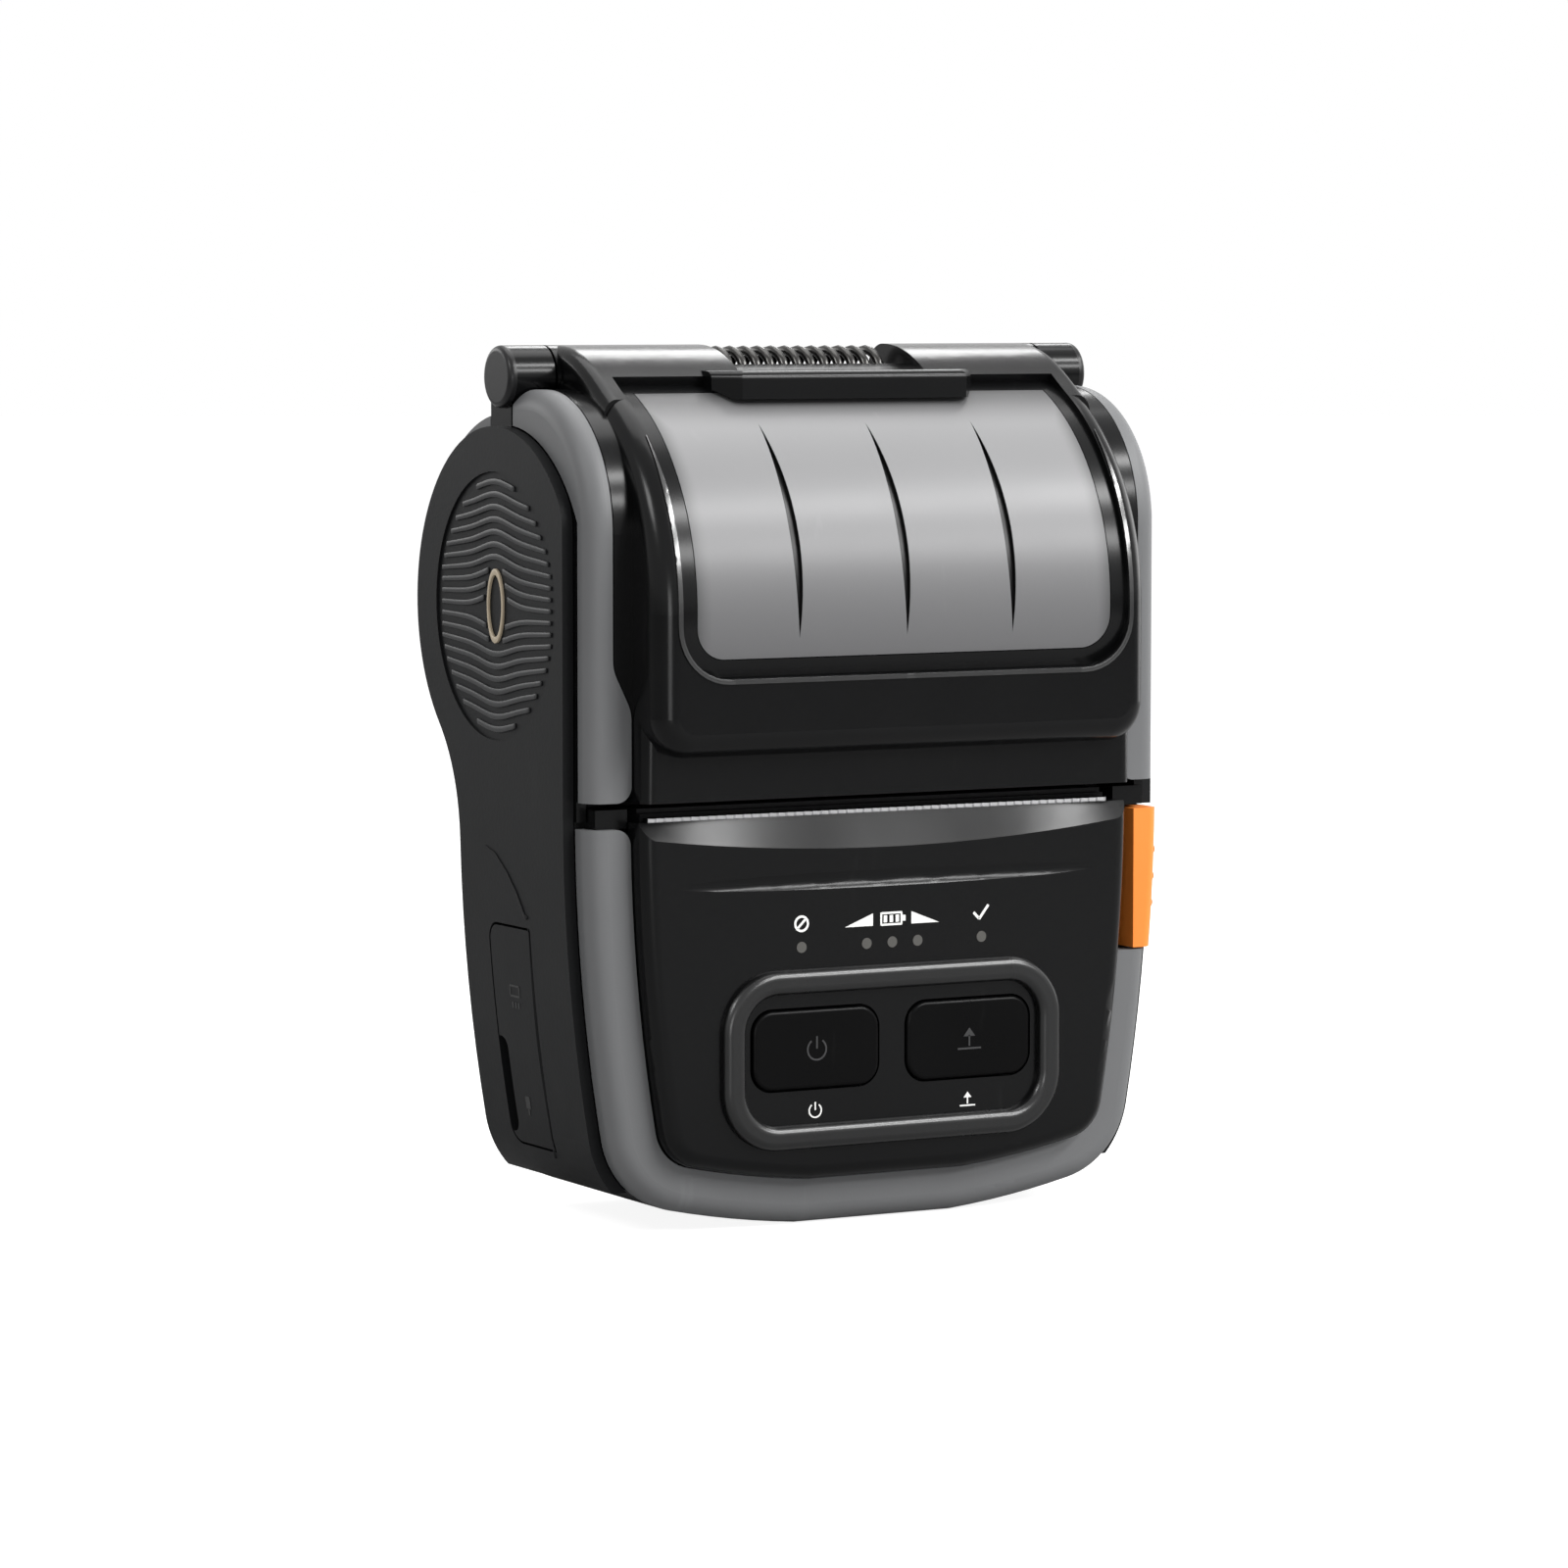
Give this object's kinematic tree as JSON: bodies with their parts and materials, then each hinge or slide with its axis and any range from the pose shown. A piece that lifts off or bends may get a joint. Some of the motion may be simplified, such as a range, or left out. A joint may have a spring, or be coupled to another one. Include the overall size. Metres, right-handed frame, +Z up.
{
  "type": "mobile ticket printer",
  "caption": "Belt-worn ticket printer that stands on its foot: round hinged lid with window, sprung hinge, toothed paper slot, keys, side release button, port door, battery and belt clip.",
  "frame": {"origin": "middle of the bounding box on the floor that the printer stands on", "axes": "+Z up, +X to the right of someone who faces the control panel, -Y out of the control panel"},
  "size_m": [0.1042, 0.0644, 0.1344],
  "materials": {
    "black_shell": "gloss",
    "charcoal_cover": "satin",
    "grey_rubber": "matte",
    "smoked_window": "gloss",
    "keys": "satin",
    "orange": "satin",
    "clear_lens": "gloss",
    "inner_plastic": "matte",
    "cap_plastic": "satin",
    "steel": "satin",
    "bearing": "satin",
    "roller_rubber": "matte",
    "heat_sink": "matte",
    "ceramic": "gloss",
    "board": "satin",
    "chips": "matte",
    "battery": "satin"
  },
  "bodies": {
    "printer": {"front_case": "black_shell", "rear_shell": "black_shell", "keypad_bezel": "black_shell", "left_side_cover": "charcoal_cover", "right_side_cover": "charcoal_cover", "lower_bumper": "grey_rubber", "left_rear_bumper": "grey_rubber", "right_rear_bumper": "grey_rubber", "status_lenses": "clear_lens", "paper_tub": "inner_plastic", "left_roll_guide": "inner_plastic", "right_roll_guide": "inner_plastic", "battery_tray": "inner_plastic", "connector_block": "inner_plastic", "left_hinge_cap": "cap_plastic", "right_hinge_cap": "cap_plastic", "hinge_pin": "steel", "hinge_spring": "steel", "release_spring": "steel", "belt_clip_spring": "steel", "belt_clip_pin": "steel", "idler_pin": "steel", "latch_pin": "steel", "drive_motor": "steel", "gear_plate": "steel", "case_screws": "steel", "tear_bar": "steel", "charging_socket": "steel", "data_socket": "steel", "dome_switches": "steel", "battery_contacts": "bearing", "heat_sink": "heat_sink", "heater_board": "ceramic", "main_board": "board", "side_board": "board", "board_chips": "chips"},
    "lid": {"lid_frame": "black_shell", "lid_window": "smoked_window", "left_lid_bumper": "grey_rubber", "right_lid_bumper": "grey_rubber", "left_platen_bush": "bearing", "right_platen_bush": "bearing"},
    "platen": {"platen_roller": "roller_rubber", "platen_shaft": "steel", "platen_gear": "inner_plastic"},
    "idler": {"idler_gear": "inner_plastic"},
    "motor_rotor": {"motor_shaft": "steel", "motor_pinion": "inner_plastic"},
    "power_key": {"power_button": "keys"},
    "feed_key": {"feed_button": "keys"},
    "release": {"release_button": "orange"},
    "latch": {"latch_lever": "inner_plastic"},
    "door": {"port_door": "charcoal_cover"},
    "battery": {"battery_pack": "battery"},
    "clip": {"belt_clip": "inner_plastic"}
  },
  "joints": [
    {"name": "lid_hinge", "type": "hinge", "parent": "printer", "child": "lid", "pos_m": [0, 0.00525, 0.1296], "axis": [-1, 0, 0], "range_deg": [0, 100], "deforming": ["hinge_spring"]},
    {"name": "platen_spin", "type": "hinge", "parent": "lid", "child": "platen", "pos_m": [0, -0.01475, 0.071], "axis": [1, 0, 0], "continuous": true},
    {"name": "idler_spin", "type": "hinge", "parent": "printer", "child": "idler", "pos_m": [0, -0.00724, 0.06088], "axis": [1, 0, 0], "continuous": true},
    {"name": "motor_spin", "type": "hinge", "parent": "printer", "child": "motor_rotor", "pos_m": [0, -0.00068, 0.05307], "axis": [1, 0, 0], "continuous": true},
    {"name": "power_press", "type": "slide", "parent": "printer", "child": "power_key", "axis": [0, 1, 0], "range_m": [0, 0.0008], "stiffness_N_per_m": 1500},
    {"name": "feed_press", "type": "slide", "parent": "printer", "child": "feed_key", "axis": [0, 1, 0], "range_m": [0, 0.0008], "stiffness_N_per_m": 1500},
    {"name": "release_press", "type": "slide", "parent": "printer", "child": "release", "axis": [-1, 0, 0], "range_m": [0, 0.002], "stiffness_N_per_m": 1000, "deforming": ["release_spring"]},
    {"name": "latch_swing", "type": "hinge", "parent": "printer", "child": "latch", "pos_m": [0.0426, -0.01045, 0.057], "axis": [0, 1, 0], "range_deg": [0, 11.6]},
    {"name": "port_door_hinge", "type": "hinge", "parent": "printer", "child": "door", "pos_m": [-0.04885, -0.0046, 0.0285], "axis": [-0.1226, 0, 0.9925], "range_deg": [0, 90]},
    {"name": "battery_slide", "type": "slide", "parent": "printer", "child": "battery", "axis": [0, 1, 0], "range_m": [0, 0.024]},
    {"name": "belt_clip_hinge", "type": "hinge", "parent": "printer", "child": "clip", "pos_m": [0, 0.02405, 0.066], "axis": [1, 0, 0], "range_deg": [0, 18], "stiffness_Nm_per_rad": 0.3, "deforming": ["belt_clip_spring"]}
  ],
  "couplings": [
    {"joint": "idler_spin", "follows": "platen_spin", "ratio": -0.75},
    {"joint": "motor_spin", "follows": "platen_spin", "ratio": 1.8},
    {"joint": "latch_swing", "follows": "release_press", "rad_per_m": 100}
  ]
}
